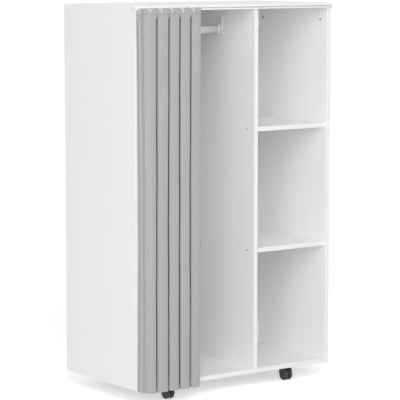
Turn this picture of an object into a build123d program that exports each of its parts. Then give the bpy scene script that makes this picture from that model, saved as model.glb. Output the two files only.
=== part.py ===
from build123d import *
import math
import os

# Curtain wardrobe on casters: a board carcass with a hanging bay and three open
# compartments, an oval clothes rail, and a gathered curtain on a front track.
# Sizes are in millimetres. +Z is up, -Y is the front, the origin is on the floor
# under the middle of the whole piece, curtain included.

# Carcass boards
carcass_width = 800.0
carcass_depth = 415.0
overall_height = 1280.0
board = 15.0
hanging_bay_width = 461.0
edge_rounding = 1.0
compartments = 3
shelf_setback = 10.0

# Back panel in its groove, and the four back rails
back_panel_thickness = 3.0
back_recess = 27.0
groove_depth = 6.0
groove_play = 0.3
top_rail_height = 75.0
bottom_rail_height = 80.0

# Hidden fasteners and their holes are prisms with this many sides
fastener_sides = 8
fastener_play = 0.08
drill_spare = 0.5

# Cam locks and their bolts
cam_radius = 7.5
cam_length = 12.2
cam_setback = 34.0
cam_inset = 60.0
cam_notch_width = 8.0
cam_slot_width = 2.0
cam_slot_length = 10.0
cam_slot_depth = 2.0
bolt_radius = 2.5
bolt_thread_length = 11.0
bolt_head_radius = 3.5
bolt_head_length = 6.0

# Dowels
dowel_radius = 4.0
dowel_in_face = 11.0
dowel_in_end = 17.0
dowel_inset = 92.0

# Shelf screws
shelf_screw_inset = 40.0
shelf_screw_length = 50.0
shelf_screw_radius = 3.5
shelf_screw_socket_radius = 2.2
shelf_screw_socket_depth = 2.6

# Two spare holes inside the right side panel
spare_hole_radius = 2.5
spare_hole_depth = 10.0
spare_hole_below_top = 42.0
spare_hole_front_inset = 34.0
spare_hole_rear_inset = 27.0

# Oval clothes rail and its two sockets
rail_height_outer = 30.0
rail_thickness_outer = 15.0
rail_wall = 1.2
rail_centre_below_top = 72.0
rail_setback = 195.0
rail_end_play = 1.5
socket_plate_width = 37.0
socket_plate_thickness = 3.0
socket_plate_below_rail = 4.0
socket_plate_above_rail = 27.0
socket_corner_radius = 6.0
socket_wall = 2.4
socket_reach = 13.0
socket_play = 0.2
socket_screw_inset = 5.5
socket_screw_spread = 24.0

# Small wood screws
wood_screw_length = 12.0
wood_screw_head_radius = 3.2
wood_screw_head_depth = 1.4
wood_screw_shank_radius = 1.8

# Curtain track with its slot to the front
track_height = 12.0
track_depth = 8.0
track_back_wall = 2.0
track_wall = 1.5
track_lip_wall = 1.6
track_slot = 4.0
track_screw_end_inset = 32.0

# Track end brackets, bent round the front corners of the side panels
bracket_thickness = 3.0
bracket_height = 14.0
bracket_leg = 20.0
bracket_screw_inset = 8.0

# Gliders
glider_count = 6
first_glider_inset = 4.5
glider_pitch = 42.1
glider_head_width = 6.0
glider_head_play = 0.4
glider_neck_width = 4.0
glider_neck_play = 0.4
glider_pad_width = 4.6
glider_pad_thickness = 2.4
glider_pad_gap = 0.3
glider_pad_rise = 5.0
glider_eye_radius = 3.6
glider_eye_hole_radius = 1.7
glider_eye_drop = 12.0
glider_hook_width = 1.8
glider_hook_wall = 1.6
glider_hook_rise = 3.0
glider_hook_gap = 0.3

# Curtain
curtain_reach = 30.0
curtain_back_clearance = 1.2
curtain_top_reach = 17.5
curtain_top_gap = 1.2
curtain_hem_height = 39.0
curtain_thickness = 1.0
curtain_side_overhang = 2.0
curtain_fold_radius = 4.0
curtain_end_tuck = 9.0
curtain_end_return = 7.0
fold_flank_slope_share = 0.8
fold_return_slope_share = 1.0
fold_valley_inset = 17.0
fold_edge_reaches = (22.0, 27.0, 27.0, 27.0, 27.0)
fold_edge_drift_share = 0.7
end_strip_share = 0.25
hollow_share = 0.48
hollow_depth = 5.5
hollow_lean_share = 0.9

# Casters
caster_height = 47.0
caster_side_inset = 145.0
caster_front_inset = 45.0
caster_rear_inset = 45.0
caster_trail = 15.0
wheel_radius = 20.0
wheel_width = 10.0
wheel_gap = 0.5
axle_radius = 3.0
axle_play = 0.05
axle_end_cover = 2.5
web_thickness = 6.4
hood_play = 1.0
hood_wall = 1.6
hood_start_angle = 12.0
hood_end_angle = 142.0
web_hub_radius = 6.5
stem_boss_radius = 8.5
kingpin_radius = 3.5
kingpin_length = 6.5
kingpin_play = 0.05
caster_plate_size = 38.0
caster_plate_thickness = 2.0
caster_plate_chamfer = 5.0
caster_screw_spacing = 27.0
swivel_gap = 0.3

# Overrun of every cut past the face that it opens
overrun = 1.0


# Places worked out from the sizes above
left_outer = -carcass_width / 2
right_outer = carcass_width / 2
left_inner = left_outer + board
right_inner = right_outer - board
divider_left = left_inner + hanging_bay_width
divider_right = divider_left + board
divider_middle = divider_left + board / 2
front = (curtain_reach - carcass_depth) / 2
rear = front + carcass_depth
back_face = rear - back_recess - back_panel_thickness
carcass_bottom = caster_height
floor_top = carcass_bottom + board
ceiling = overall_height - board
clear_height = ceiling - floor_top
compartment_height = (clear_height - (compartments - 1) * board) / compartments
rail_centre_y = front + rail_setback
rail_centre_z = ceiling - rail_centre_below_top
back_rail_y = back_face - board / 2
track_bottom = ceiling
track_front = front - track_depth
track_middle_z = track_bottom + track_height / 2
pad_back = track_front - glider_pad_gap
pad_front = pad_back - glider_pad_thickness
pad_middle = (pad_back + pad_front) / 2
head_back = front - track_back_wall - glider_head_play
head_front = track_front + track_lip_wall + glider_head_play
axle_z = wheel_radius
plate_bottom = caster_height - caster_plate_thickness
curtain_top = track_bottom - curtain_top_gap


def block(low, high):
    """A rectangular block between its lowest and its highest corner."""
    size = [b - a for a, b in zip(low, high)]
    middle = [(a + b) / 2 for a, b in zip(low, high)]
    return Pos(*middle) * Box(*size)


def rod(start, direction, radius, length):
    """A round rod or drill from a point along a direction."""
    upright = Cylinder(radius, length, align=(Align.CENTER, Align.CENTER, Align.MIN))
    return Plane(origin=start, z_dir=direction) * upright


def step_along(start, direction, distance):
    """The point at a distance from a start along a unit direction."""
    return tuple(s + distance * d for s, d in zip(start, direction))


def peg(start, direction, radius, length):
    """A many-sided prism from a point along a direction: a hidden fastener or its hole."""
    return Plane(origin=start, z_dir=direction) * extrude(RegularPolygon(radius, fastener_sides), length)


def turned(profile, start, direction):
    """A solid of revolution placed with its axis at a point along a direction.

    The profile is a closed run of radius and axial position pairs.
    """
    outline = make_face(Polyline(*[(r, 0, a) for r, a in profile], close=True))
    return Plane(origin=start, z_dir=direction) * revolve(outline, Axis.Z)


def group(solids):
    """Separate solids that share one node."""
    return Compound(children=list(solids))


def save(shape, node):
    export_step(shape, "parts/" + node + ".step")


# Joints between boards: a point on the joint plane, the way into the board that
# holds the cam, and the side on which the cam opens
into_right = (1, 0, 0)
into_left = (-1, 0, 0)
upward = (0, 0, 1)
downward = (0, 0, -1)
forward = (0, -1, 0)
backward = (0, 1, 0)

cam_rows = (front + cam_inset, back_face - cam_inset)
dowel_rows = (front + dowel_inset, back_face - dowel_inset)
top_board_z = overall_height - board / 2
bottom_board_z = carcass_bottom + board / 2

cam_joints = [
    ((x, y, z), run)
    for x, run in ((left_inner, into_right), (right_inner, into_left))
    for z in (top_board_z, bottom_board_z)
    for y in cam_rows
]
divider_dowels = [
    ((divider_middle, y, z), run) for z, run in ((ceiling, downward), (floor_top, upward)) for y in dowel_rows
]
back_rail_levels = {
    "top": (ceiling - top_rail_height, ceiling),
    "bottom": (floor_top, floor_top + bottom_rail_height),
}
back_rail_bays = {"left": (left_inner, divider_left), "right": (divider_right, right_inner)}
outer_rail_dowels = [
    ((x, back_rail_y, (low + high) / 2), run)
    for low, high in back_rail_levels.values()
    for x, run in ((left_inner, into_right), (right_inner, into_left))
]
through_dowel_starts = [
    (divider_left - dowel_in_end, back_rail_y, (low + high) / 2) for low, high in back_rail_levels.values()
]
through_dowel_length = board + 2 * dowel_in_end


def opposite(direction):
    return tuple(-d for d in direction)


def cam_bolt(point, run):
    """A bolt screwed into the side panel, with its head inside the cam."""
    start = step_along(point, run, -bolt_thread_length)
    neck_end = cam_setback - bolt_head_length / 2
    head_start = step_along(point, run, neck_end)
    head = peg(head_start, run, bolt_head_radius, bolt_head_length)
    return peg(start, run, bolt_radius, bolt_thread_length + neck_end) + head


def cam_mouth(point, run):
    """The middle of the cam's face, on the underside of its board."""
    return step_along(step_along(point, run, cam_setback), downward, board / 2)


def cam_lock(point, run):
    """A cam, notched up to its middle for the bolt head and slotted for a driver."""
    mouth = cam_mouth(point, run)
    notch_start = step_along(point, run, cam_setback - cam_radius)
    notch_end = step_along(point, run, cam_setback + cam_notch_width / 2)
    middle = [(a + b) / 2 for a, b in zip(notch_start, notch_end)]
    cam = peg(mouth, upward, cam_radius, cam_length)
    cam -= Pos(*middle) * Box(cam_radius + cam_notch_width / 2, cam_notch_width, cam_notch_width)
    return cam - Pos(*mouth) * Box(cam_slot_length, cam_slot_width, 2 * cam_slot_depth)


def cam_bores(point, run):
    """The cam's bore, the way to it for the bolt, and the hole for the bolt's thread."""
    mouth = step_along(cam_mouth(point, run), downward, overrun)
    way_start = step_along(point, run, -overrun)
    thread_start = step_along(point, run, overrun)
    thread_depth = bolt_thread_length + drill_spare
    return [
        peg(mouth, upward, cam_radius + fastener_play, overrun + cam_length + fastener_play),
        peg(way_start, run, bolt_head_radius + fastener_play, overrun + cam_setback),
        peg(thread_start, opposite(run), bolt_radius + fastener_play, overrun + thread_depth),
    ]


def dowel(point, run):
    """A wooden dowel across a joint plane."""
    return peg(step_along(point, run, -dowel_in_face), run, dowel_radius, dowel_in_face + dowel_in_end)


def dowel_bore(point, run):
    """The bore for a dowel, through both boards at once."""
    low = step_along(point, run, -dowel_in_face - drill_spare)
    length = dowel_in_face + dowel_in_end + 2 * drill_spare
    return peg(low, run, dowel_radius + fastener_play, length)


# Shelf levels and the screws that hold the shelves
shelf_levels = [
    floor_top + n * compartment_height + (n - 1) * board for n in range(1, compartments)
]
shelf_screw_rows = (front + shelf_screw_inset, back_face - shelf_screw_inset)


def shelf_screw(point, run):
    """A shelf screw with a hexagonal socket, flush with the board's face."""
    socket = extrude(RegularPolygon(shelf_screw_socket_radius, 6), shelf_screw_socket_depth)
    body = peg(point, run, shelf_screw_radius, shelf_screw_length)
    return body - Plane(origin=point, z_dir=run) * socket


def shelf_screw_bore(point, run):
    low = step_along(point, run, -overrun)
    return peg(low, run, shelf_screw_radius + fastener_play, overrun + shelf_screw_length + drill_spare)


shelf_screw_points = []
for level in shelf_levels:
    for y in shelf_screw_rows:
        shelf_screw_points.append(((divider_left, y, level + board / 2), into_right))
        shelf_screw_points.append(((right_outer, y, level + board / 2), into_left))


# Small wood screws
def wood_screw(point, run, play=0.0):
    """A screw whose flat head is let in flush, or with some play the hole for it."""
    low = step_along(point, run, -play)
    head = peg(low, run, wood_screw_head_radius + play, wood_screw_head_depth + 2 * play)
    return head + peg(low, run, wood_screw_shank_radius + play, wood_screw_length + 2 * play)


track_screw_xs = (left_outer + track_screw_end_inset, 0, right_outer - track_screw_end_inset)
track_screw_points = [((x, front - track_back_wall, track_middle_z), backward) for x in track_screw_xs]
bracket_screw_y = front + bracket_leg - bracket_screw_inset
bracket_screw_z = track_bottom + track_height - bracket_height / 2
bracket_screw_points = [
    ((left_outer - bracket_thickness, bracket_screw_y, bracket_screw_z), into_right),
    ((right_outer + bracket_thickness, bracket_screw_y, bracket_screw_z), into_left),
]
socket_screw_z = rail_centre_z + rail_height_outer / 2 + socket_plate_above_rail - socket_screw_inset
socket_screw_points = []
for side in (-1, 1):
    y = rail_centre_y + side * socket_screw_spread / 2
    socket_screw_points.append(((left_inner + socket_plate_thickness, y, socket_screw_z), into_left))
    socket_screw_points.append(((divider_left - socket_plate_thickness, y, socket_screw_z), into_right))

caster_xs = {"left": left_outer + caster_side_inset, "right": (divider_right + right_inner) / 2}
caster_ys = {"front": front + caster_front_inset, "rear": back_face - caster_rear_inset}
caster_places = {
    depth + "_" + side: (caster_xs[side], caster_ys[depth]) for depth in caster_ys for side in caster_xs
}
caster_screw_points = [
    ((x + sx * caster_screw_spacing / 2, y + sy * caster_screw_spacing / 2, plate_bottom), upward)
    for x, y in caster_places.values()
    for sx in (-1, 1)
    for sy in (-1, 1)
]


def cut_all(shape, cutters):
    """A shape less every cutter whose box reaches into it."""
    space = shape.bounding_box()
    near = []
    for cutter in cutters:
        box = cutter.bounding_box()
        apart = (
            box.min.X >= space.max.X or box.max.X <= space.min.X
            or box.min.Y >= space.max.Y or box.max.Y <= space.min.Y
            or box.min.Z >= space.max.Z or box.max.Z <= space.min.Z
        )
        if not apart:
            near.append(cutter)
    return shape - near if near else shape


def drillings():
    """Every hole for a fastener, each as the drill that makes it."""
    drills = []
    for joint in cam_joints:
        drills += cam_bores(*joint)
    drills += [dowel_bore(*joint) for joint in divider_dowels + outer_rail_dowels]
    for start in through_dowel_starts:
        low = step_along(start, into_left, drill_spare)
        length = through_dowel_length + 2 * drill_spare
        drills.append(peg(low, into_right, dowel_radius + fastener_play, length))
    drills += [shelf_screw_bore(*place) for place in shelf_screw_points]
    drills += [wood_screw(*place, fastener_play) for place in wood_screw_points]
    for y in (front + spare_hole_front_inset, back_face - spare_hole_rear_inset):
        mouth = (right_inner - overrun, y, ceiling - spare_hole_below_top)
        drills.append(peg(mouth, into_right, spare_hole_radius, overrun + spare_hole_depth))
    return drills


wood_screw_points = track_screw_points + bracket_screw_points + socket_screw_points + caster_screw_points
holes = drillings()


def banded(panel, axis):
    """A board whose two long front edges are rounded by the edge band."""
    front_edges = panel.edges().filter_by(axis).group_by(Axis.Y)[0]
    return fillet(front_edges, edge_rounding)


# The back panel and the groove that takes it
groove_low = (left_inner - groove_depth, back_face, floor_top - groove_depth)
groove_rear = back_face + back_panel_thickness + groove_play
groove_high = (right_inner + groove_depth, groove_rear, ceiling + groove_depth)
groove = block(groove_low, groove_high)
back_panel = block(
    (groove_low[0] + groove_play, back_face, groove_low[2] + groove_play),
    (groove_high[0] - groove_play, back_face + back_panel_thickness, groove_high[2] - groove_play),
)

# Boards of the carcass
panels = {
    "left_side_panel": banded(
        block((left_outer, front, carcass_bottom), (left_inner, rear, overall_height)), Axis.Z
    ) - groove,
    "right_side_panel": banded(
        block((right_inner, front, carcass_bottom), (right_outer, rear, overall_height)), Axis.Z
    ) - groove,
    "top_panel": banded(
        block((left_inner, front, ceiling), (right_inner, rear, overall_height)), Axis.X
    ) - groove,
    "bottom_panel": banded(
        block((left_inner, front, carcass_bottom), (right_inner, rear, floor_top)), Axis.X
    ) - groove,
    "divider_panel": banded(
        block((divider_left, front, floor_top), (divider_right, back_face, ceiling)), Axis.Z
    ),
}
for name, level in zip(("shelf_lower", "shelf_upper"), shelf_levels):
    panels[name] = banded(
        block((divider_right, front + shelf_setback, level), (right_inner, back_face, level + board)), Axis.X
    )
for level, (z_low, z_high) in back_rail_levels.items():
    for bay, (x_low, x_high) in back_rail_bays.items():
        panels["back_rail_" + level + "_" + bay] = block(
            (x_low, back_face - board, z_low), (x_high, back_face, z_high)
        )


# Oval clothes rail
def oval(width, height):
    """An upright oval with round ends."""
    return Rot(0, 0, 90) * SlotOverall(height, width)


rail_start = (left_inner + rail_end_play, rail_centre_y, rail_centre_z)
rail_plane = Plane(origin=rail_start, x_dir=backward, z_dir=into_right)
rail_length = hanging_bay_width - 2 * rail_end_play
rail_section = oval(rail_thickness_outer, rail_height_outer) - oval(
    rail_thickness_outer - 2 * rail_wall, rail_height_outer - 2 * rail_wall
)
clothes_rail = extrude(rail_plane * rail_section, rail_length)


def rail_socket(wall_x, outward):
    """A screwed plate with a cup that is open at the top, for one end of the rail."""
    foot = (wall_x, rail_centre_y, rail_centre_z)
    across = backward if outward == into_right else forward
    plane = Plane(origin=foot, x_dir=across, z_dir=outward)
    half_rail = rail_height_outer / 2
    low = -half_rail - socket_plate_below_rail
    high = half_rail + socket_plate_above_rail
    middle = (low + high) / 2
    plate = Pos(0, middle) * RectangleRounded(socket_plate_width, high - low, socket_corner_radius)
    hollow_width = rail_thickness_outer + 2 * socket_play
    hollow_radius = hollow_width / 2
    bend_y = hollow_radius - half_rail - socket_play
    cup_radius = hollow_radius + socket_wall
    cup_top = half_rail
    cup = Pos(0, bend_y) * Circle(cup_radius)
    cup += Pos(0, (bend_y + cup_top) / 2) * Rectangle(2 * cup_radius, cup_top - bend_y)
    hollow = Pos(0, bend_y) * Circle(hollow_radius)
    hollow += Pos(0, (bend_y + cup_top + overrun) / 2) * Rectangle(hollow_width, cup_top + overrun - bend_y)
    base = extrude(plane * plate, socket_plate_thickness)
    raised = extrude(plane * (cup - hollow), socket_reach)
    recess_foot = step_along(foot, outward, rail_end_play - socket_play)
    seat = Plane(origin=recess_foot, x_dir=across, z_dir=outward)
    recess = extrude(seat * oval(hollow_width, rail_height_outer + 2 * socket_play), socket_reach)
    return base + raised - recess


rail_socket_left = cut_all(rail_socket(left_inner, into_right), holes)
rail_socket_right = cut_all(rail_socket(divider_left, into_left), holes)


# Curtain track
def track_outline():
    """The track's section seen from its end: a channel whose slot faces the front."""
    half_slot = track_slot / 2
    outer = Pos(-track_depth / 2, track_height / 2) * Rectangle(track_depth, track_height)
    cavity_depth = track_depth - track_back_wall - track_lip_wall
    cavity_height = track_height - 2 * track_wall
    cavity_middle = -track_back_wall - cavity_depth / 2
    cavity = Pos(cavity_middle, track_height / 2) * Rectangle(cavity_depth, cavity_height)
    slot = Pos(-track_depth, track_height / 2) * Rectangle(2 * (track_lip_wall + overrun), 2 * half_slot)
    return outer - cavity - slot


track_plane = Plane(origin=(left_outer, front, track_bottom), x_dir=backward, z_dir=into_right)
curtain_track = cut_all(extrude(track_plane * track_outline(), carcass_width), holes)


def end_bracket(side):
    """A plate over the track's end with a rounded leg along the side panel."""
    outer_x = side * (carcass_width / 2)
    origin = (min(outer_x, outer_x + side * bracket_thickness), front, track_bottom + track_height)
    plane = Plane(origin=origin, x_dir=backward, z_dir=into_right)
    length = track_depth + bracket_leg
    centre = (bracket_leg - track_depth) / 2
    bar = Pos(centre, -bracket_height / 2) * SlotOverall(length, bracket_height)
    nose_length = length / 2
    nose = Pos(nose_length / 2 - track_depth, -bracket_height / 2) * Rectangle(nose_length, bracket_height)
    return extrude(plane * (bar + nose), bracket_thickness)


track_end_bracket_left = cut_all(end_bracket(-1), holes)
track_end_bracket_right = cut_all(end_bracket(1), holes)


# Gliders
def glider(x):
    """A head in the track, a neck through the slot, a pad with an eye, and a hook."""
    half_head = track_height / 2 - track_wall - glider_head_play
    head = block(
        (x - glider_head_width / 2, head_front, track_middle_z - half_head),
        (x + glider_head_width / 2, head_back, track_middle_z + half_head),
    )
    half_neck = track_slot / 2 - glider_neck_play
    neck = block(
        (x - glider_neck_width / 2, pad_middle, track_middle_z - half_neck),
        (x + glider_neck_width / 2, (head_front + head_back) / 2, track_middle_z + half_neck),
    )
    plane = Plane(origin=(x, pad_back, track_middle_z), x_dir=into_right, z_dir=forward)
    strip = Pos(0, (glider_pad_rise - glider_eye_drop) / 2) * Rectangle(
        glider_pad_width, glider_pad_rise + glider_eye_drop
    )
    eye = Pos(0, -glider_eye_drop) * Circle(glider_eye_radius)
    hole = Pos(0, -glider_eye_drop) * RegularPolygon(glider_eye_hole_radius, fastener_sides)
    pad = extrude(plane * (strip + eye - hole), glider_pad_thickness)
    half_hook = glider_hook_width / 2
    hook_low = track_middle_z - glider_eye_drop + glider_eye_hole_radius
    hook_high = hook_low + glider_hook_wall
    hook_front = front - curtain_top_reach + curtain_thickness + glider_hook_gap
    arm = block((x - half_hook, hook_front, hook_low), (x + half_hook, pad_middle, hook_high))
    tip = block(
        (x - half_hook, hook_front, hook_low),
        (x + half_hook, hook_front + glider_hook_wall, hook_high + glider_hook_rise),
    )
    return head + neck + pad + arm + tip


glider_xs = [left_outer + first_glider_inset + n * glider_pitch for n in range(glider_count)]


# Curtain: one strip of cloth folded to and fro, with folds that deepen from top to hem
def fold_corners(reach):
    """Corner points of the cloth's middle line at one level, from left to right.

    The cloth starts as a strip on the first glider, dips into a shallow hollow, and runs
    on in one pleat for each other glider: a flank to the front, a crest, and a return
    that folds back to the left behind the crest. Every run keeps its direction at every
    level and only gets longer towards the hem, where the folds are deepest.
    """
    y_front = front - reach + curtain_thickness / 2
    y_back = front - curtain_back_clearance - curtain_thickness / 2
    y_strip = front - curtain_top_reach + curtain_thickness / 2
    y_hollow = y_strip + hollow_depth
    depth = y_back - y_front
    start_x = left_outer - curtain_side_overhang
    hollow_x = start_x + hollow_share * glider_pitch
    points = [
        (start_x, y_strip),
        (start_x + end_strip_share * glider_pitch, y_strip),
        (hollow_x, y_hollow),
        (hollow_x + hollow_lean_share * (y_hollow - y_front), y_front),
    ]
    drift = fold_edge_drift_share * (reach - curtain_top_reach)
    edges = [x + edge - drift for x, edge in zip(glider_xs[1:], fold_edge_reaches)]
    for edge_x, next_glider_x in zip(edges, glider_xs[2:]):
        valley_x = next_glider_x - fold_valley_inset
        points += [(edge_x, y_front), (edge_x - fold_return_slope_share * depth, y_back)]
        points += [(valley_x, y_back), (valley_x + fold_flank_slope_share * depth, y_front)]
    points.append((edges[-1], y_front))
    points.append((edges[-1] - curtain_end_return, y_front + curtain_end_tuck))
    return points


def offset_line(points, distance):
    """The same run of corners moved sideways, with mitred corners."""
    normals = []
    for (ax, ay), (bx, by) in zip(points, points[1:]):
        length = math.hypot(bx - ax, by - ay)
        normals.append((-(by - ay) / length, (bx - ax) / length))
    moved = [(points[0][0] + distance * normals[0][0], points[0][1] + distance * normals[0][1])]
    for (px, py), (n1x, n1y), (n2x, n2y) in zip(points[1:-1], normals, normals[1:]):
        scale = distance / (1 + n1x * n2x + n1y * n2y)
        moved.append((px + scale * (n1x + n2x), py + scale * (n1y + n2y)))
    last = points[-1]
    moved.append((last[0] + distance * normals[-1][0], last[1] + distance * normals[-1][1]))
    return moved


def turn_sides(points):
    """For each inner corner, 1 where the line turns left and -1 where it turns right."""
    sides = []
    for (ax, ay), (bx, by), (cx, cy) in zip(points, points[1:], points[2:]):
        cross = (bx - ax) * (cy - by) - (by - ay) * (cx - bx)
        sides.append(1 if cross > 0 else -1)
    return sides


def cloth_section(points, z):
    """The closed outline of the cloth at one level: two parallel rounded zigzags."""
    sides = turn_sides(points)
    half = curtain_thickness / 2
    edges = []
    ends = []
    for distance in (half, -half):
        radii = [curtain_fold_radius - side * distance for side in sides]
        line = FilletPolyline(*[(x, y, z) for x, y in offset_line(points, distance)], radius=radii)
        edges += line.edges()
        ends.append((line @ 0, line @ 1))
    edges += [Line(ends[0][0], ends[1][0]), Line(ends[0][1], ends[1][1])]
    return make_face(edges)


hem_corners = fold_corners(curtain_reach)
hem_section = cloth_section(hem_corners, curtain_hem_height)
top_section = cloth_section(fold_corners(curtain_top_reach), curtain_top)
curtain = loft([hem_section, top_section], ruled=True)
cloth_line = FilletPolyline(*hem_corners, radius=curtain_fold_radius)
cloth_height = curtain_top - curtain_hem_height
print("cloth, width along its folds:", round(cloth_line.length, 1), "height:", cloth_height)


# Casters
def caster_plate(x, y):
    """A plate with clipped corners, four screw holes and the kingpin in its middle."""
    flat = Rectangle(caster_plate_size, caster_plate_size)
    flat = chamfer(flat.vertices(), caster_plate_chamfer)
    plate = Pos(x, y, plate_bottom) * extrude(flat, caster_plate_thickness)
    kingpin = rod((x, y, plate_bottom), downward, kingpin_radius, kingpin_length)
    return cut_all(plate, holes) + kingpin


def caster_housing(x, y):
    """The swivelling body: a web on the axle, a hood over both wheels, a kingpin boss."""
    wheel_y = y - caster_trail
    hood_inner = wheel_radius + hood_play
    hood_outer = hood_inner + hood_wall
    hood_width = web_thickness + 2 * (wheel_gap + wheel_width)
    plane = Plane(origin=(x, wheel_y, axle_z), x_dir=backward, z_dir=into_right)
    start = math.radians(hood_start_angle)
    end = math.radians(hood_end_angle)
    ring = Circle(hood_outer) - Circle(hood_inner)
    far = 2 * hood_outer
    sector = make_face(Polyline(
        (0, 0),
        (far * math.cos(start), far * math.sin(start)),
        (0, far),
        (far * math.cos(end), far * math.sin(end)),
        close=True,
    ))
    hood = extrude(plane * (ring & sector), hood_width / 2, both=True)
    upper_half = Pos(0, hood_outer / 2) * Rectangle(2 * hood_outer, hood_outer)
    web_face = (Circle(hood_inner + hood_wall / 2) & upper_half) + Circle(web_hub_radius)
    web = extrude(plane * web_face, web_thickness / 2, both=True)
    boss_top = plate_bottom - swivel_gap
    boss = rod((x, y, axle_z), upward, stem_boss_radius, boss_top - axle_z)
    boss -= extrude(plane * Circle(hood_inner), hood_width / 2, both=True)
    body = hood + web + boss
    body -= rod(
        (x, y, boss_top + overrun), downward, kingpin_radius + kingpin_play, kingpin_length + overrun
    )
    body -= extrude(plane * Circle(axle_radius + axle_play), hood_width / 2, both=True)
    return body


def caster_axle(x, y):
    length = web_thickness + 2 * (wheel_gap + wheel_width - axle_end_cover - drill_spare)
    return rod((x - length / 2, y - caster_trail, axle_z), into_right, axle_radius, length)


def caster_wheel(x, y, side):
    """One wheel with a closed outer face and a blind bore from the inside."""
    inner = web_thickness / 2 + wheel_gap
    outer = inner + wheel_width
    bore = axle_radius + axle_play
    profile = (
        (bore, inner),
        (wheel_radius, inner),
        (wheel_radius, outer),
        (0, outer),
        (0, outer - axle_end_cover),
        (bore, outer - axle_end_cover),
    )
    direction = into_right if side > 0 else into_left
    return turned(profile, (x, y - caster_trail, axle_z), direction)


# Every node is written to its own file
os.makedirs("parts", exist_ok=True)

for name, panel in panels.items():
    save(cut_all(panel, holes), name)
save(back_panel, "back_panel")

save(group(cam_lock(*joint) for joint in cam_joints), "cam_locks")
save(group(cam_bolt(*joint) for joint in cam_joints), "cam_bolts")
dowels = [dowel(*joint) for joint in divider_dowels + outer_rail_dowels]
dowels += [peg(start, into_right, dowel_radius, through_dowel_length) for start in through_dowel_starts]
save(group(dowels), "dowels")
save(group(shelf_screw(*place) for place in shelf_screw_points), "shelf_screws")

save(clothes_rail, "clothes_rail")
save(rail_socket_left, "rail_socket_left")
save(rail_socket_right, "rail_socket_right")
save(group(wood_screw(*place) for place in socket_screw_points), "rail_socket_screws")

save(curtain_track, "curtain_track")
save(track_end_bracket_left, "track_end_bracket_left")
save(track_end_bracket_right, "track_end_bracket_right")
save(group(wood_screw(*place) for place in track_screw_points + bracket_screw_points), "track_screws")

for number, x in enumerate(glider_xs, start=1):
    save(glider(x), "glider_" + str(number))
save(curtain, "curtain")

for place, (x, y) in caster_places.items():
    save(caster_plate(x, y), "caster_" + place + "_plate")
    save(caster_housing(x, y), "caster_" + place + "_housing")
    save(caster_axle(x, y), "caster_" + place + "_axle")
    save(caster_wheel(x, y, -1), "caster_" + place + "_wheel_left")
    save(caster_wheel(x, y, 1), "caster_" + place + "_wheel_right")
save(group(wood_screw(*place) for place in caster_screw_points), "caster_screws")
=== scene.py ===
import math

import bmesh
import bpy
import numpy as np
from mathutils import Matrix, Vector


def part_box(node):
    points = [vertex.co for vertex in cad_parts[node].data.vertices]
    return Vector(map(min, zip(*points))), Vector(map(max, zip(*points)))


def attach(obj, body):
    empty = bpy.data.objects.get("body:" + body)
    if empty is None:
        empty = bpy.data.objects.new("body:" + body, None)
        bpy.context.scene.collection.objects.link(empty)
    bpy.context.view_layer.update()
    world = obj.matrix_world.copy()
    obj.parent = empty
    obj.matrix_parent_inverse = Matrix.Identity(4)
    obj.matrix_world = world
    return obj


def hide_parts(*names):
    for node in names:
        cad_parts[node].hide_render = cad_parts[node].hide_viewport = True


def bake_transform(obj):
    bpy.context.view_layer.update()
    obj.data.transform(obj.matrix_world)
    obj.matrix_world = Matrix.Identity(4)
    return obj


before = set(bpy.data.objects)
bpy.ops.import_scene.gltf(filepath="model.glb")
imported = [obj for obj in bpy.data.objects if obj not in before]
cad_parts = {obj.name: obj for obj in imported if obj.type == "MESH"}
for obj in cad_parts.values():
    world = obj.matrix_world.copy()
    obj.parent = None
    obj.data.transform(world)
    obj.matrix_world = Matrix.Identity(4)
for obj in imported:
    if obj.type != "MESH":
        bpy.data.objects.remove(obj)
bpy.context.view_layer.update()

# Curtain wardrobe on casters: white boards, an oval clothes rail, and a grey curtain
# gathered on six gliders. Everything is in metres; +Z is up and -Y is the front.


# Camera, at eye height in front of the left corner, with a long lens that looks
# slightly down along the open front.
camera_place = (-3.9732, -5.4137, 1.4399)
camera_turn = -36.234
camera_dip = 6.968
camera_lens = 180.41
film_width = 36.0

eye = bpy.data.cameras.new("camera")
eye.lens = camera_lens
eye.sensor_width = film_width
camera = bpy.data.objects.new("camera", eye)
camera.location = camera_place
camera.rotation_euler = (math.radians(90.0 - camera_dip), 0.0, math.radians(camera_turn))
bpy.context.scene.collection.objects.link(camera)
bpy.context.scene.camera = camera
bpy.context.scene.view_settings.view_transform = "Standard"


# Room: a white floor that fades into a white surround. The surround lights the object from
# all sides, and three wide soft lamps add to it: low on the left, high in front, overhead.
class Wire:
    """One socket of a finish's nodes. Arithmetic on wires adds Math nodes beside it."""

    def __init__(self, tree, socket=None):
        self.tree = tree
        self.socket = socket

    def node(self, kind, settings=None, sockets=None, output=0):
        """Adds one node: its settings first, then its sockets, and gives one output."""
        made = self.tree.nodes.new(kind)
        for name, value in (settings or {}).items():
            setattr(made, name, value)
        for name, value in (sockets or {}).items():
            if isinstance(value, Wire):
                self.tree.links.new(value.socket, made.inputs[name])
            else:
                made.inputs[name].default_value = value
        return Wire(self.tree, made.outputs[output])

    def maths(self, operation, first, second):
        return self.node("ShaderNodeMath", {"operation": operation}, {0: first, 1: second})

    def __add__(self, other):
        return self.maths("ADD", self, other)

    def __sub__(self, other):
        return self.maths("SUBTRACT", self, other)

    def __rsub__(self, other):
        return self.maths("SUBTRACT", other, self)

    def __mul__(self, other):
        return self.maths("MULTIPLY", self, other)

    __radd__ = __add__
    __rmul__ = __mul__


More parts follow.
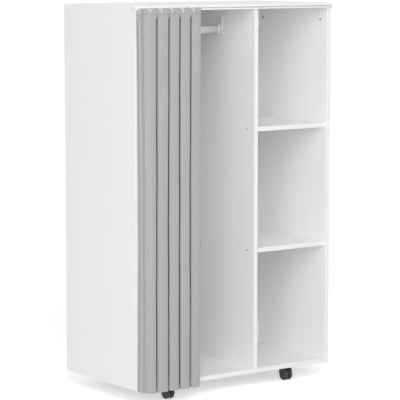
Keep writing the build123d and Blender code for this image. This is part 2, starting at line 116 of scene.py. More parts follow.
def direct_view(wire):
    """1 for what the camera sees, also in a mirror or through glass, and 0 for light."""
    ray = wire.node("ShaderNodeLightPath")
    outputs = ray.socket.node.outputs
    seen = Wire(wire.tree, outputs["Is Camera Ray"])
    mirrored = Wire(wire.tree, outputs["Is Glossy Ray"])
    through = Wire(wire.tree, outputs["Is Transmission Ray"])
    clamped = {"operation": "ADD", "use_clamp": True}
    return wire.node("ShaderNodeMath", clamped, {0: seen + mirrored, 1: through})


# The surround is white where the camera sees it, and gives this much light.
surround_light = 0.46
room = bpy.data.worlds.new("room")
room.use_nodes = True
background = room.node_tree.nodes["Background"]
background.inputs["Color"].default_value = (1.0, 1.0, 1.0, 1.0)
world_wire = Wire(room.node_tree)
strength = surround_light + direct_view(world_wire) * (1.0 - surround_light)
room.node_tree.links.new(strength.socket, background.inputs["Strength"])
bpy.context.scene.world = room

lamp_distance = 6.0
lamp_aim = (0.0, 0.0, 0.65)
# Each lamp's bearing from the front towards the left, its height in degrees over the
# floor, its width in metres, and its power in watts.
lamps = {
    "front_lamp": (38.0, 12.0, 4.6, 172.0),
    "high_lamp": (25.0, 40.0, 3.4, 92.0),
    "top_lamp": (20.0, 84.0, 3.4, 38.0),
}


def soft_lamp(name, bearing, height, width, power):
    """A round lamp at one distance from the point that all lamps are aimed at.

    With bearing b and height h, its direction is -sin b cos h to the right, -cos b cos h
    to the back, and sin h up.
    """
    data = bpy.data.lights.new(name, "AREA")
    data.shape = "DISK"
    data.size = width
    data.energy = power
    made = bpy.data.objects.new(name, data)
    turn, climb = math.radians(bearing), math.radians(height)
    away = (
        -math.sin(turn) * math.cos(climb),
        -math.cos(turn) * math.cos(climb),
        math.sin(climb),
    )
    made.location = [part * lamp_distance + aim for part, aim in zip(away, lamp_aim)]
    made.rotation_euler = (math.radians(90.0 - height), 0.0, -turn)
    made.visible_camera = False
    bpy.context.scene.collection.objects.link(made)


for lamp_name, lamp_values in lamps.items():
    soft_lamp(lamp_name, *lamp_values)

floor_reach = 3.2
floor_grey = (0.86, 0.86, 0.86, 1.0)
floor_lift = 0.46
floor_roughness = 0.9
floor_specular = 0.1
# The floor fades to plain white between these distances from its middle.
fade_start = 0.9
fade_end = 2.4
floor_mesh = bpy.data.meshes.new("floor")
floor_corners = [
    (-floor_reach, -floor_reach, 0.0),
    (floor_reach, -floor_reach, 0.0),
    (floor_reach, floor_reach, 0.0),
    (-floor_reach, floor_reach, 0.0),
]
floor_mesh.from_pydata(floor_corners, [], [(0, 1, 2, 3)])
floor_finish = bpy.data.materials.new("floor_paper")
floor_finish.use_nodes = True
floor_shader = floor_finish.node_tree.nodes["Principled BSDF"]
floor_shader.inputs["Base Color"].default_value = floor_grey
floor_shader.inputs["Roughness"].default_value = floor_roughness
floor_shader.inputs["Specular IOR Level"].default_value = floor_specular
floor_shader.inputs["Emission Strength"].default_value = floor_lift
floor_wire = Wire(floor_finish.node_tree)
seen_floor = direct_view(floor_wire)
floor_finish.node_tree.links.new(seen_floor.socket, floor_shader.inputs["Emission Color"])
floor_place = floor_wire.node("ShaderNodeTexCoord", output="Object")
from_middle = floor_place.node(
    "ShaderNodeVectorMath", {"operation": "LENGTH"}, {0: floor_place}, output=1
)
fade = from_middle.node(
    "ShaderNodeMapRange",
    {"interpolation_type": "SMOOTHSTEP"},
    {"Value": from_middle, "From Min": fade_start, "From Max": fade_end},
)
white_paper = floor_wire.node("ShaderNodeEmission")
floor_mix = floor_wire.node(
    "ShaderNodeMixShader",
    None,
    {0: fade * seen_floor, 1: Wire(floor_wire.tree, floor_shader.outputs[0]), 2: white_paper},
)
floor_output = floor_finish.node_tree.nodes["Material Output"]
floor_finish.node_tree.links.new(floor_mix.socket, floor_output.inputs["Surface"])
floor_mesh.materials.append(floor_finish)
floor = bpy.data.objects.new("floor", floor_mesh)
bpy.context.scene.collection.objects.link(floor)


# Boards: 15 mm particle board faced with white melamine that has a very faint pressed
# grain, along Z on the uprights and along X on the rest, with white edge bands.
board_white = (0.915, 0.915, 0.912)
board_shade = (0.890, 0.890, 0.887)
band_white = (0.82, 0.82, 0.818)
board_roughness = 0.40
board_relief = 0.00006
board_gloss = {"Specular_IOR_Level": 0.4}
grain_upright = (160.0, 160.0, 2.6)
grain_level = (2.6, 160.0, 160.0)
# A surface is the board's face where its normal lies this much along the thickness, and an
# edge band where it lies less than the second share along it.
face_normal = 0.75
band_normal = 0.35


def finish(name, surface, **sockets):
    """A finish whose nodes `surface` draws from the place on the object, in metres.

    The other values are the same all over and are set on the shader itself.
    """
    made = bpy.data.materials.new(name)
    made.use_nodes = True
    tree = made.node_tree
    shader = tree.nodes["Principled BSDF"]
    for socket, value in sockets.items():
        shader.inputs[socket.replace("_", " ")].default_value = value
    place = Wire(tree).node("ShaderNodeTexCoord", output="Object")
    for socket, wire in surface(place).items():
        tree.links.new(wire.socket, shader.inputs[socket])
    return made


def stretched(place, stretch):
    """The place with each axis made coarser or finer, for a pattern that runs one way."""
    return place.node("ShaderNodeVectorMath", {"operation": "MULTIPLY"}, {0: place, 1: stretch})


def noise(place, scale=1.0, detail=2.0, roughness=0.5, distortion=0.0):
    """A soft random pattern from 0 to 1, with about `scale` spots to the metre."""
    sockets = {
        "Vector": place,
        "Scale": scale,
        "Detail": detail,
        "Roughness": roughness,
        "Distortion": distortion,
    }
    return place.node("ShaderNodeTexNoise", None, sockets)


def mixed(amount, first, second):
    """A colour between two, by an amount from 0 to 1.

    The Mix node's colours are its inputs 6 and 7, and its output 2.
    """
    colours = [c if isinstance(c, Wire) else (*c, 1.0) for c in (first, second)]
    sockets = {0: amount, 6: colours[0], 7: colours[1]}
    return amount.node("ShaderNodeMix", {"data_type": "RGBA"}, sockets, output=2)


def eased(value, low, high):
    """0 at low and beyond it, 1 at high and beyond it, and a soft step between."""
    settings = {"interpolation_type": "SMOOTHSTEP"}
    sockets = {"Value": value, "From Min": low, "From Max": high}
    return value.node("ShaderNodeMapRange", settings, sockets)


def bumped(height, depth, strength):
    """A normal from a height that runs from 0 to 1 over that depth in metres."""
    sockets = {"Height": height, "Distance": depth, "Strength": strength}
    return height.node("ShaderNodeBump", None, sockets)


def axis_of(vector, axis):
    """One coordinate of a vector: 0, 1 or 2."""
    return vector.node("ShaderNodeSeparateXYZ", None, {0: vector}, output=axis)


def size_of(value):
    """A number without its sign."""
    return value.node("ShaderNodeMath", {"operation": "ABSOLUTE"}, {0: value})


def melamine(stretch, face_axis):
    """Faint long streaks on the faces of a board, and none on the bands of its edges."""

    def surface(place):
        streaks = noise(stretched(place, stretch), detail=3.0, roughness=0.62, distortion=0.25)
        clouds = noise(place, scale=2.6, detail=1.0)
        fine = noise(place, scale=900.0, detail=1.0)
        normal = place.node("ShaderNodeNewGeometry", output="True Normal")
        on_edge = eased(size_of(axis_of(normal, face_axis)), low=face_normal, high=band_normal)
        pores = eased(streaks, low=0.40, high=0.62)
        shade = mixed(pores * 0.8 + clouds * 0.2, board_shade, board_white)
        height = pores * (1.0 - on_edge) + fine * 0.25
        return {
            "Base Color": mixed(on_edge, shade, band_white),
            "Roughness": board_roughness + clouds * 0.06 - on_edge * 0.08 + pores * 0.04,
            "Normal": bumped(height, board_relief, strength=0.5),
        }

    return surface


def dress(nodes, material):
    """Gives CAD pieces their finish."""
    for node in nodes:
        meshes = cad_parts[node].data
        meshes.materials.clear()
        meshes.materials.append(material)


upright_board = finish("melamine_upright", melamine(grain_upright, 0), **board_gloss)
level_board = finish("melamine_level", melamine(grain_level, 2), **board_gloss)
rail_board = finish("melamine_rail", melamine(grain_level, 1), **board_gloss)
dress(["left_side_panel", "right_side_panel", "divider_panel"], upright_board)
dress(["top_panel", "bottom_panel", "shelf_lower", "shelf_upper"], level_board)
dress(["back_rail_top_left", "back_rail_top_right"], rail_board)
dress(["back_rail_bottom_left", "back_rail_bottom_right"], rail_board)


# Back panel: 3 mm thin board with white foil on both sides, slid into grooves in the
# sides, the top and the bottom. Its foil is smoother than the boards, with a fine grain.
foil_white = (0.90, 0.90, 0.898)
foil_shade = (0.88, 0.88, 0.877)
foil_grain = (230.0, 230.0, 5.0)
foil_roughness = 0.48
foil_relief = 0.0004


def foil(place):
    """A fine upright grain, over slow waves in the thin board."""
    streaks = noise(stretched(place, foil_grain))
    waves = noise(place, scale=3.5, detail=1.0)
    return {
        "Base Color": mixed(eased(streaks, low=0.3, high=0.7), foil_shade, foil_white),
        "Roughness": foil_roughness + streaks * 0.08,
        "Normal": bumped(streaks * 0.1 + waves, foil_relief, strength=0.4),
    }


dress(["back_panel"], finish("back_foil", foil, Specular_IOR_Level=0.35))


# Cam locks and their bolts: die-cast zinc drums in the level boards, and the bolts that
# they draw in.
zinc_light = (0.66, 0.66, 0.665)
zinc_dark = (0.50, 0.50, 0.51)
zinc_roughness = 0.38
zinc_relief = 0.00005


def cast_zinc(place):
    """A grainy cast skin with dull and bright blotches."""
    grain = noise(place, scale=1600.0)
    blotches = noise(place, scale=220.0)
    return {
        "Base Color": mixed(blotches, zinc_dark, zinc_light),
        "Roughness": zinc_roughness + grain * 0.2,
        "Normal": bumped(grain, zinc_relief, strength=0.6),
    }


dress(["cam_locks", "cam_bolts"], finish("cast_zinc", cast_zinc, Metallic=1.0))


# Dowels: bare fluted beech pegs, glued into the boards. They keep the joints in line and
# are hidden once the boards are together.
beech_light = (0.72, 0.57, 0.40)
beech_dark = (0.56, 0.42, 0.27)
beech_fibre = (120.0, 900.0, 900.0)
beech_roughness = 0.6
beech_relief = 0.0001


def beech(place):
    """Short fibres along the peg, in light and dark wood."""
    fibres = noise(stretched(place, beech_fibre), detail=3.0, roughness=0.6)
    return {
        "Base Color": mixed(fibres, beech_dark, beech_light),
        "Roughness": beech_roughness + fibres * 0.15,
        "Normal": bumped(fibres, beech_relief, strength=0.5),
    }


dress(["dowels"], finish("beech", beech))


# Screws: zinc-plated steel, in the shelves, the rail sockets, the track and the casters.
# Their plating is bright, with dull blotches.
plate_light = (0.70, 0.70, 0.71)
plate_dark = (0.52, 0.53, 0.55)
plate_roughness = 0.26
plate_relief = 0.00003


def plated_steel(place):
    """Bright plating with dull blotches that are a little rougher."""
    blotches = noise(place, scale=350.0, detail=3.0)
    return {
        "Base Color": mixed(blotches, plate_dark, plate_light),
        "Roughness": plate_roughness + blotches * 0.16,
        "Normal": bumped(blotches, plate_relief, strength=0.5),
    }


screw_finish = finish("plated_steel", plated_steel, Metallic=1.0)
dress(["shelf_screws", "rail_socket_screws", "track_screws", "caster_screws"], screw_finish)


# Clothes rail: a bright plated oval steel tube, polished along its length. It hangs
# between two sockets, on the left side and on the divider.
chrome_light = (0.80, 0.80, 0.81)
chrome_dark = (0.70, 0.70, 0.715)
chrome_lines = (3.0, 1500.0, 1500.0)
chrome_roughness = 0.12
chrome_relief = 0.00002


def bright_plate(place):
    """Polishing lines along the tube, and soft patches where hangers and hands rub."""
    lines = noise(stretched(place, chrome_lines))
    handling = noise(place, scale=16.0, detail=3.0)
    return {
        "Base Color": mixed(lines, chrome_dark, chrome_light),
        "Roughness": chrome_roughness + handling * 0.08,
        "Normal": bumped(lines, chrome_relief, strength=0.4),
    }


dress(["clothes_rail"], finish("bright_plate", bright_plate, Metallic=1.0))


# Rail sockets: white moulded plates with a collar for the tube, each held by two screws.
# Their plastic is a shade darker than the boards.
socket_light = (0.80, 0.80, 0.79)
socket_dark = (0.76, 0.76, 0.75)
moulded_roughness = 0.34
moulded_relief = 0.00004


def moulded_white(light, dark):
    """A moulded part: a fine spark-eroded skin and slightly uneven gloss."""

    def surface(place):
        skin_grain = noise(place, scale=1400.0)
        flow = noise(place, scale=60.0)
        return {
            "Base Color": mixed(flow, dark, light),
            "Roughness": moulded_roughness + skin_grain * 0.12,
            "Normal": bumped(skin_grain, moulded_relief, strength=0.6),
        }

    return surface


socket_finish = finish("socket_plastic", moulded_white(socket_light, socket_dark))
dress(["rail_socket_left", "rail_socket_right"], socket_finish)


# Curtain track and its end brackets: white enamelled metal, screwed along the top edge
# and round the front corners of the sides.
enamel_light = (0.86, 0.86, 0.855)
enamel_dark = (0.83, 0.83, 0.825)
enamel_lines = (4.0, 700.0, 700.0)
enamel_roughness = 0.28
enamel_relief = 0.00005


def enamel(place):
    """Baked enamel with a slight orange peel, over the metal's faint drawn lines."""
    peel = noise(place, scale=420.0)
    lines = noise(stretched(place, enamel_lines))
    return {
        "Base Color": mixed(lines, enamel_dark, enamel_light),
        "Roughness": enamel_roughness + peel * 0.08,
        "Normal": bumped(peel, enamel_relief, strength=0.5),
    }


enamel_finish = finish("white_enamel", enamel)
dress(["curtain_track", "track_end_bracket_left", "track_end_bracket_right"], enamel_finish)


# Gliders: white moulded plastic. Each has a head that runs in the track, and below it, in
# front of the track, a strip with an eye and a short peg that carries a curtain hook.
glider_light = (0.87, 0.87, 0.86)
glider_dark = (0.83, 0.83, 0.82)
glider_count = 6
glider_names = ["glider_" + str(number) for number in range(1, glider_count + 1)]
glider_finish = finish("glider_plastic", moulded_white(glider_light, glider_dark))
dress(glider_names, glider_finish)


# Curtain: one width of plain grey cloth with a flat heading, hung by the heading on the
# six gliders. It has a sewn hem below and narrow sewn hems down both sides.
cloth_top = 1.2690
cloth_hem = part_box("curtain")[0][2]
rise = cloth_top - cloth_hem
front_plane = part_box("left_side_panel")[0][1]
# How far the pleats' crests stand in front of the boards, at the top and at the hem, and
# how far their backs do, below the heading and in it.
reach_top = 0.0175
reach_hem = 0.0300
reach_power = 1.6
back_gap = 0.0017
heading_gap = 0.0162
# The cloth goes from pleats to a flat heading between these heights.
heading_low = 1.226
heading_high = 1.252
# Where each pleat's folded edge stands to the right of its glider, and how far in front of
# the reach its crest stands at the hem.
fold_edges = 0.001 * np.array([22.6, 27.4, 28.3, 29.0, 28.6])
fold_depths = 0.001 * np.array([1.0, 0.0, -0.8, 0.4, -0.6])
# The edges drift to the left by this share of the cloth's lean, and sway a little.
fold_drift_share = 0.95
fold_sway = 0.0006
fold_sway_run = 4.2
fold_phases = np.array([0.3, 2.1, 4.0, 5.2, 1.0])
# Behind its narrow mouth, the space between two pleats widens: for each metre back, the
# return of the one runs this far to the left, and the wall of the next to the right.
return_slope = 0.68
wall_slope = 0.42
# The shoulder that each pleat shows beside the edge before it: distance to the right of
# that edge, then the share of the pleat's depth behind its crest.
shoulder_right = 0.001 * np.array([8.6, 9.8, 14.5, 24.0])
shoulder_back = np.array([0.36, 0.24, 0.10, 0.0])
# The turned end of the last pleat, of which the heading takes half the depth.
end_return_right = -0.0060
end_return_back = 0.0090
end_return_heading = 0.5
# The left border covers the board's edge at the top and the hem, and bows off it between.
# Its edge is turned back towards the board, and less so in the heading.
border_x = -0.3935
border_bow = 0.0065
border_bow_power = 0.35
border_lean_share = 0.25
border_right = 0.001 * np.array([0.4, -0.6, 2.2, 6.0])
border_back = 0.001 * np.array([13.0, 6.0, 0.6, -0.2])
border_heading = 0.001 * np.array([8.0, 0.0, 0.0, 0.0])
# The shallow hollow beside the border, and the first crest, move with the cloth's lean.
hollow_x = -0.3745
hollow_depth = 0.0065
hollow_lean_share = 0.2
first_crest_x = -0.3545
first_crest_lean_share = 0.5
# The folds are rounded over this length of cloth, and less so beside its ends.
fold_spread = 0.0018
end_spread = 0.0004
end_spread_slope = 0.6
walk_steps = 1600
# Half the thickness of the single cloth and of its hems, and the hems' widths.
cloth_half = 0.00040
hem_half = 0.00085
hem_width = 0.022
side_hem_width = 0.012
heading_width = 0.014
# The hem rises towards its left corner.
corner_lift = 0.0095
corner_lift_width = 0.046
corner_lift_power = 1.4
corner_lift_fade = 6
# Slack ripples: their depth, and the radians of two waves for each metre up and along the
# cloth.
slack_depth = 0.0006
long_ripple = (9.0, 31.0)
short_ripple = (23.0, -47.0)
short_ripple_share = 0.6
short_ripple_phase = 1.3
# The grid's rows and columns, closer together in the upper band, at the seams and at the
# edges, where the two faces of the cloth meet.
selvage = np.array([0.0, 0.0003, 0.0012])
seam_rows = np.array([-0.0012, 0.0, 0.0012])
upper_band = 0.060
row_margin = 0.004
inner_row_count = 78
upper_row_count = 22
column_margin = 0.0025
column_count = 380


def middle_of(node):
    """The middle of a CAD node's box."""
    low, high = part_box(node)
    return [(a + b) / 2 for a, b in zip(low, high)]


glider_xs = np.array([middle_of(name)[0] for name in glider_names])


def fold_corners(reach, fall, heading):
    """Corners of the cloth's line at each level, from its left border to its right one.

    The cloth starts in front of the board's edge, dips into a shallow hollow, and runs on
    in one pleat for each other glider: a wall and a shoulder that come out from behind
    the pleat before it, a crest, and a return that folds back to the left behind the
    crest. Reach is how far the crests stand forward, fall goes from 0 at the top to 1 at
    the hem, and heading from 0 in the pleats to 1 in the flat heading.
    """
    y_front = front_plane - reach
    y_back = front_plane - back_gap - (heading_gap - back_gap) * heading
    lean = reach - reach_top
    bow = np.clip(np.sin(math.pi * fall), 0.0, 1.0) ** border_bow_power
    border = border_x - border_bow * (1.0 - bow)
    y_strip = front_plane - reach_top - border_lean_share * lean
    corners = [
        (border + right, y_strip + back - less * heading)
        for right, back, less in zip(border_right, border_back, border_heading)
    ]
    corners.append((hollow_x, y_strip + hollow_depth - hollow_lean_share * lean))
    corners.append((first_crest_x - first_crest_lean_share * lean, y_front))
    crests = [y_front - depth * fall for depth in fold_depths]
    for number, crest in enumerate(crests):
        sway = fold_sway * fall * np.sin(fold_sway_run * fall + fold_phases[number])
        edge = glider_xs[number + 1] + fold_edges[number] - fold_drift_share * lean + sway
        corners.append((edge, crest))
        if crest is crests[-1]:
            end_back = end_return_back * (1.0 - end_return_heading * heading)
            corners.append((edge + end_return_right, crest + end_back))
        else:
            corners.append((edge - return_slope * (y_back - crest), y_back))
            next_crest = crests[number + 1]
            next_depth = y_back - next_crest
            corners.append((edge + shoulder_right[0] + wall_slope * next_depth, y_back))
            for right, back in zip(shoulder_right, shoulder_back):
                corners.append((edge + right, next_crest + back * next_depth))
    level = np.zeros_like(reach)
    return np.stack([np.stack([x + level, y + level], -1) for x, y in corners], 1)


def rounding(corner_count, stops, places, spread):
    """Weights that walk the corners and average the walk over a short stretch of cloth.

    A place on the cloth is first a point on the straight run between two corners, and
    then the mean of its neighbours, weighted by a bell curve as wide as the spread.
    """
    fine = np.linspace(0.0, stops[-1], walk_steps)
    walk = np.stack([np.interp(fine, stops, row) for row in np.eye(corner_count)], 1)
    near_end = np.minimum(places, stops[-1] - places)
    width = np.minimum(spread, end_spread + near_end * end_spread_slope)
    bell = np.exp(-0.5 * ((fine[None, :] - places[:, None]) / width[:, None]) ** 2)
    bell /= bell.sum(1, keepdims=True)
    return bell @ walk


def ripples(up, along):
    """Two crossed sine waves over the cloth, the short one shallower than the long one."""
    long_wave = np.sin(long_ripple[0] * up + long_ripple[1] * along)
    short_wave = np.sin(short_ripple[0] * up + short_ripple[1] * along + short_ripple_phase)
    return long_wave + short_ripple_share * short_wave


def skin(name, points, material, closed=False, marks=None):
    """A mesh over a grid of points, a face in each cell, and its own marks as a UV map.

    closed joins the last column to the first. Points that coincide are merged.
    """
    rows, columns = points.shape[:2]
    index = np.arange(rows * columns).reshape(rows, columns)
    if closed:
        index = np.concatenate([index, index[:, :1]], 1)
    cells = np.stack([index[:-1, :-1], index[:-1, 1:], index[1:, 1:], index[1:, :-1]], -1)
    cells = cells.reshape(-1, 4)
    mesh = bpy.data.meshes.new(name)
    mesh.vertices.add(rows * columns)
    mesh.vertices.foreach_set("co", points.astype(np.float32).ravel())
    mesh.loops.add(cells.size)
    mesh.loops.foreach_set("vertex_index", cells.ravel().astype(np.int32))
    mesh.polygons.add(len(cells))
    mesh.polygons.foreach_set("loop_start", np.arange(0, cells.size, 4, dtype=np.int32))
    mesh.update(calc_edges=True)
    if marks is not None:
        corner_marks = marks.reshape(-1, 2)[cells.ravel()].astype(np.float32)
        mesh.uv_layers.new(name="lay").data.foreach_set("uv", corner_marks.ravel())
    shell = bmesh.new()
    shell.from_mesh(mesh)
    bmesh.ops.remove_doubles(shell, verts=shell.verts, dist=1e-7)
    bmesh.ops.dissolve_degenerate(shell, edges=shell.edges, dist=1e-8)
    bmesh.ops.recalc_face_normals(shell, faces=shell.faces)
    shell.to_mesh(mesh)
    shell.free()
    mesh.shade_smooth()
    mesh.materials.append(material)
    piece = bpy.data.objects.new(name, mesh)
    bpy.context.scene.collection.objects.link(piece)
    return piece


cloth_light = (0.415, 0.415, 0.418)
cloth_dark = (0.365, 0.365, 0.369)
seam_shade = (0.30, 0.30, 0.304)
cloth_roughness = 0.86
cloth_relief = 0.00022
cloth_gloss = {"Specular_IOR_Level": 0.2, "Sheen_Weight": 0.05, "Sheen_Roughness": 0.5}
thread_pitch = 0.0011
slub_up = (700.0, 45.0, 1.0)
slub_across = (45.0, 700.0, 1.0)
# A line of sewing fades out between these distances from its middle.
stitch_outer = 0.0010
stitch_inner = 0.0002


def woven_cloth(place):
    """Plain weave on the cloth's own map: warp and weft in turns, with uneven threads.

    The weave is the sine of the way along times the sine of the way up, a thread's pitch
    to the turn. Two seams are drawn in, one at the hem and one under the heading.
    """
    lay = place.node("ShaderNodeUVMap", {"uv_map": "lay"})
    along, up = axis_of(lay, 0), axis_of(lay, 1)
    turn = 2.0 * math.pi / thread_pitch
    warp = place.node("ShaderNodeMath", {"operation": "SINE"}, {0: along * turn})
    weft = place.node("ShaderNodeMath", {"operation": "SINE"}, {0: up * turn})
    weave = warp * weft * 0.5 + 0.5
    slubs_up = noise(stretched(lay, slub_up), detail=3.0, roughness=0.6)
    slubs_across = noise(stretched(lay, slub_across), detail=3.0, roughness=0.6)
    slubs = slubs_up * 0.5 + slubs_across * 0.5
    fuzz = noise(lay, scale=2600.0)
    hem_seam = eased(size_of(up - hem_width), low=stitch_outer, high=stitch_inner)
    heading_seam = eased(
        size_of(up - (rise - heading_width)), low=stitch_outer, high=stitch_inner
    )
    seams = hem_seam + heading_seam
    tone = eased(slubs * 0.75 + weave * 0.15 + fuzz * 0.1, low=0.30, high=0.66)
    height = weave * 0.6 + slubs * 0.8 - seams * 1.6
    return {
        "Base Color": mixed(seams * 0.35, mixed(tone, cloth_dark, cloth_light), seam_shade),
        "Roughness": cloth_roughness + fuzz * 0.1,
        "Normal": bumped(height, cloth_relief, strength=0.8),
    }


cloth_finish = finish("grey_cloth", woven_cloth, **cloth_gloss)
row_heights = np.unique(np.concatenate([
    selvage,
    np.linspace(row_margin, rise - upper_band, inner_row_count),
    np.linspace(rise - upper_band + row_margin, rise - row_margin, upper_row_count),
    hem_width + seam_rows,
    rise - heading_width + seam_rows,
    rise - selvage[::-1],
]))
fall = 1.0 - row_heights / rise
# How far a row is in the heading, as a soft step: three times its square less twice its cube.
heading = (cloth_hem + row_heights - heading_low) / (heading_high - heading_low)
heading = np.clip(heading, 0.0, 1.0)
heading = heading * heading * (3.0 - 2.0 * heading)
reach = reach_top + (reach_hem - reach_top) * (1.0 - (1.0 - fall) ** reach_power)
corner_grid = fold_corners(reach, fall, heading)
run_lengths = np.linalg.norm(np.diff(corner_grid.mean(0), axis=0), axis=1)
corner_stops = np.concatenate([[0.0], np.cumsum(run_lengths)])
cloth_width = corner_stops[-1]
places_along = np.concatenate([
    selvage,
    np.linspace(column_margin, cloth_width - column_margin, column_count),
    cloth_width - selvage[::-1],
])
weights = rounding(corner_grid.shape[1], corner_stops, places_along, fold_spread)
line = np.einsum("pc,rcd->rpd", weights, corner_grid)
up_rows, along_columns = row_heights[:, None], places_along[None, :]
near_corner = np.clip(1.0 - along_columns / corner_lift_width, 0.0, 1.0)
lift = corner_lift * near_corner ** corner_lift_power
heights = cloth_hem + up_rows + lift * fall[:, None] ** corner_lift_fade
cloth = np.concatenate([line, heights[..., None]], -1)
outward = np.cross(np.gradient(cloth, axis=1), np.gradient(cloth, axis=0))
outward /= np.linalg.norm(outward, axis=-1, keepdims=True)
slack = np.sin(math.pi * np.clip(fall, 0.0, 1.0))[:, None] * slack_depth
cloth = cloth + outward * (ripples(up_rows, along_columns) * slack)[..., None]
# The cloth is doubled in its hems, and its two faces meet at its edges.
to_top = rise - row_heights
to_side = np.minimum(places_along, cloth_width - places_along)
in_hem = (row_heights < hem_width) | (to_top < heading_width)
doubled = in_hem[:, None] | (to_side < side_hem_width)[None, :]
to_edge = np.minimum(np.minimum(row_heights, to_top)[:, None], to_side[None, :])
half = np.where(doubled, hem_half, cloth_half) * np.clip(to_edge / selvage[1], 0.0, 1.0)
face = cloth + outward * half[..., None]
reverse = cloth - outward * half[..., None]
wrapped = np.concatenate([face, reverse[:, -2:0:-1]], 1)
face_marks = np.stack(np.broadcast_arrays(along_columns, up_rows), -1)
wrapped_marks = np.concatenate([face_marks, face_marks[:, -2:0:-1]], 1)
curtain = skin("curtain_cloth", wrapped, cloth_finish, closed=True, marks=wrapped_marks)
# The cut width is the length of the cloth's line, averaged over its height.
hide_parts("curtain")
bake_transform(curtain)


# Curtain hooks: white moulded hooks that rise from the gliders' pegs, go over the edge of
# the heading and hold it from the front. Each moves with its glider.
hook_width = 0.0021
hook_thickness = 0.0011
hook_sides = 16
hook_squareness = 0.6
hook_bodies = ["cabinet", "glider_2", "glider_3", "glider_4", "glider_5", "lead_glider"]
peg_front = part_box("glider_1")[0][1]
# The hook's line in the plane across the track: distance forward of the front of the
# glider's peg, then height over the cloth's top edge. It is drawn to a point at both ends.
hook_forward = 0.001 * np.array([-0.9, -0.9, -0.9, -0.3, 0.9, 2.2, 2.9, 3.1, 3.1, 2.9, 2.3])
hook_over = 0.001 * np.array(
    [-5.5, -2.0, 0.4, 1.7, 2.2, 1.6, 0.0, -3.0, -7.5, -11.0, -12.8]
)
hook_taper = np.array([0.0, 1.0, 1.0, 1.0, 1.0, 1.0, 1.0, 1.0, 1.0, 0.85, 0.0])


def squared(wave):
    """A sine or cosine made flatter: its sign times its size to a power below 1.

    A circle of points whose two coordinates are so flattened becomes a rounded bar.
    """
    return np.sign(wave) * np.abs(wave) ** hook_squareness


hook_line = np.stack([peg_front - hook_forward, cloth_top + hook_over], -1)
hook_tangent = np.gradient(hook_line, axis=0)
hook_tangent /= np.linalg.norm(hook_tangent, axis=1, keepdims=True)
hook_normal = np.stack([-hook_tangent[:, 1], hook_tangent[:, 0]], -1)
hook_turns = np.linspace(0.0, 2.0 * math.pi, hook_sides, endpoint=False)
bar_across = squared(np.cos(hook_turns)) * hook_width / 2
bar_through = squared(np.sin(hook_turns)) * hook_thickness / 2
ring_across = bar_across[None, :] * hook_taper[:, None]
ring_through = bar_through[None, :] * hook_taper[:, None]
ring = hook_line[:, None, :] + hook_normal[:, None, :] * ring_through[..., None]
for number, (x, body) in enumerate(zip(glider_xs, hook_bodies), 1):
    hook_points = np.concatenate([(x + ring_across)[..., None], ring], -1)
    hook = skin("curtain_hook_" + str(number), hook_points, glider_finish, closed=True)
    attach(hook, body)


# Joining screws: two small black heads on the inner face of each side panel, just under
# the top. They are blackened steel and are driven from inside the wardrobe.
joining_drop = 0.0565
joining_inset_front = 0.0375
joining_inset_rear = 0.0645
joining_light = (0.040, 0.040, 0.041)
joining_dark = (0.020, 0.020, 0.021)
joining_roughness = 0.34
joining_relief = 0.00003
joining_sides = 32
joining_crease = 40.0
# The head's outline from the middle of its socket, over the dome, and back under the face
# of the board: distance from the screw's middle, then height over the board.
joining_outline = 0.001 * np.array([
    (0.0, -0.4), (1.5, -0.4), (1.65, 0.7), (2.55, 0.7), (3.4, 0.21), (3.4, -0.8), (0.0, -0.8),
])


def blackened_steel(place):
    """Black oxide with slightly uneven gloss."""
    blotches = noise(place, scale=500.0)
    return {
        "Base Color": mixed(blotches, joining_dark, joining_light),
        "Roughness": joining_roughness + blotches * 0.16,
        "Normal": bumped(blotches, joining_relief, strength=0.5),
    }


def turned(outline, middle, side, sides):
    """Points of an outline carried round an axis along X, to one side of a middle.

    A point at radius r and distance d along the axis goes, at each turn t, to side times d
    from the middle along X, r cos t along Y, and r sin t along Z.
    """
    turns = np.linspace(0.0, 2.0 * math.pi, sides, endpoint=False)[None, :]
    radius, along = outline[:, :1], outline[:, 1:]
    points = np.broadcast_arrays(
        middle[0] + side * along,
        middle[1] + radius * np.cos(turns),
        middle[2] + radius * np.sin(turns),
    )
    return np.stack(points, -1)


joining_finish = finish("blackened_steel", blackened_steel, Metallic=0.5)
inner_faces = {
    "left": (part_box("left_side_panel")[1][0], 1.0),
    "right": (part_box("right_side_panel")[0][0], -1.0),
}
joining_rows = {
    "front": front_plane + joining_inset_front,
    "rear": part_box("left_side_panel")[1][1] - joining_inset_rear,
}
joining_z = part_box("top_panel")[1][2] - joining_drop
for side_name, (face_x, inward) in inner_faces.items():
    for row_name, row_y in joining_rows.items():
        head = turned(joining_outline, (face_x, row_y, joining_z), inward, joining_sides)
        screw_name = "joining_screw_" + side_name + "_" + row_name
        screw = skin(screw_name, head, joining_finish, closed=True)
        screw.data.set_sharp_from_angle(angle=math.radians(joining_crease))
        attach(screw, "cabinet")


# Casters: black nylon twin-wheel casters. A zinc plate is screwed under the bottom, a
# hood turns on its pin, and a wheel runs on each end of the axle.
nylon_light = (0.022, 0.022, 0.023)
nylon_dark = (0.011, 0.011, 0.012)
wheel_scuff = (0.062, 0.062, 0.064)
nylon_roughness = 0.26
wheel_roughness = 0.22
nylon_relief = 0.00006
nylon_grain = 1100.0
scuff_stretch = (8.0, 900.0, 1.0)
# The tread lies half-way along the wheel's outline, and its scuff fades out between these
# shares of the outline from there.
tread_middle = 0.5
tread_outer = 0.16
tread_inner = 0.05
wheel_sides = 64
wheel_crease = 50.0
radians_per_mark = 6.3
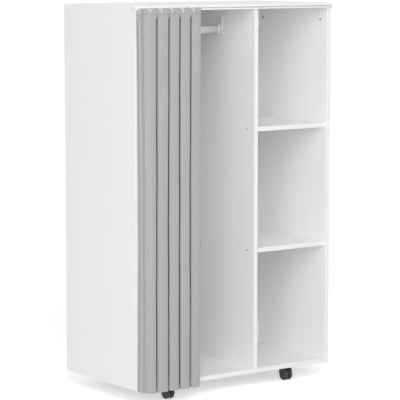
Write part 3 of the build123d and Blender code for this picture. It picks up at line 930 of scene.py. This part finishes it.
# The wheel's outline from the bore, over the crowned tread, to the dished outer face:
# distance from the axle, then distance from the middle of the caster.
wheel_outline = 0.001 * np.array([
    (3.05, 11.2), (3.05, 3.7), (6.2, 3.7), (6.6, 4.2), (16.4, 4.2), (17.0, 3.7),
    (18.6, 3.7), (19.4, 4.1), (19.85, 5.0), (20.0, 6.6), (20.0, 10.4), (19.9, 11.8),
    (19.5, 12.9), (18.7, 13.55), (17.6, 13.7), (16.9, 13.5), (16.5, 12.9), (15.9, 12.5),
    (8.6, 12.3), (7.9, 12.6), (7.4, 13.3), (6.4, 13.65), (3.0, 13.7), (0.0, 13.7),
])


def black_nylon(place):
    """Moulded black nylon with a fine skin and faint flow marks."""
    grain = noise(place, scale=nylon_grain)
    flow = noise(place, scale=70.0)
    return {
        "Base Color": mixed(flow, nylon_dark, nylon_light),
        "Roughness": nylon_roughness + grain * 0.14,
        "Normal": bumped(grain, nylon_relief, strength=0.7),
    }


def wheel_nylon(place):
    """Black nylon whose tread is dulled by dust in a band round the wheel."""
    lay = place.node("ShaderNodeUVMap", {"uv_map": "lay"})
    grain = noise(place, scale=nylon_grain)
    rubbed = noise(stretched(lay, scuff_stretch), detail=3.0)
    tread = eased(size_of(axis_of(lay, 1) - tread_middle), low=tread_outer, high=tread_inner)
    return {
        "Base Color": mixed(tread * rubbed * 0.6, nylon_light, wheel_scuff),
        "Roughness": wheel_roughness + tread * 0.14 + grain * 0.12,
        "Normal": bumped(grain, nylon_relief, strength=0.7),
    }


nylon_finish = finish("black_nylon", black_nylon)
wheel_finish = finish("wheel_nylon", wheel_nylon)
# The wheel's marks: turns round it, and the share of the way along its outline.
round_marks = np.linspace(0.0, 2.0 * math.pi, wheel_sides, endpoint=False) / radians_per_mark
outline_marks = np.linspace(0.0, 1.0, len(wheel_outline))
wheel_marks = np.stack(np.broadcast_arrays(round_marks[None, :], outline_marks[:, None]), -1)
for corner in ("front_left", "front_right", "rear_left", "rear_right"):
    caster = "caster_" + corner
    dress([caster + "_housing"], nylon_finish)
    dress([caster + "_axle", caster + "_plate"], screw_finish)
    caster_x = middle_of(caster + "_plate")[0]
    for hand, side in (("left", -1.0), ("right", 1.0)):
        body = caster + "_wheel_" + hand
        axle_middle = (caster_x, *middle_of(body)[1:])
        grid = turned(wheel_outline, axle_middle, side, wheel_sides)
        wheel = skin(body + "_rounded", grid, wheel_finish, closed=True, marks=wheel_marks)
        wheel.data.set_sharp_from_angle(angle=math.radians(wheel_crease))
        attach(wheel, body)
        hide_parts(body)
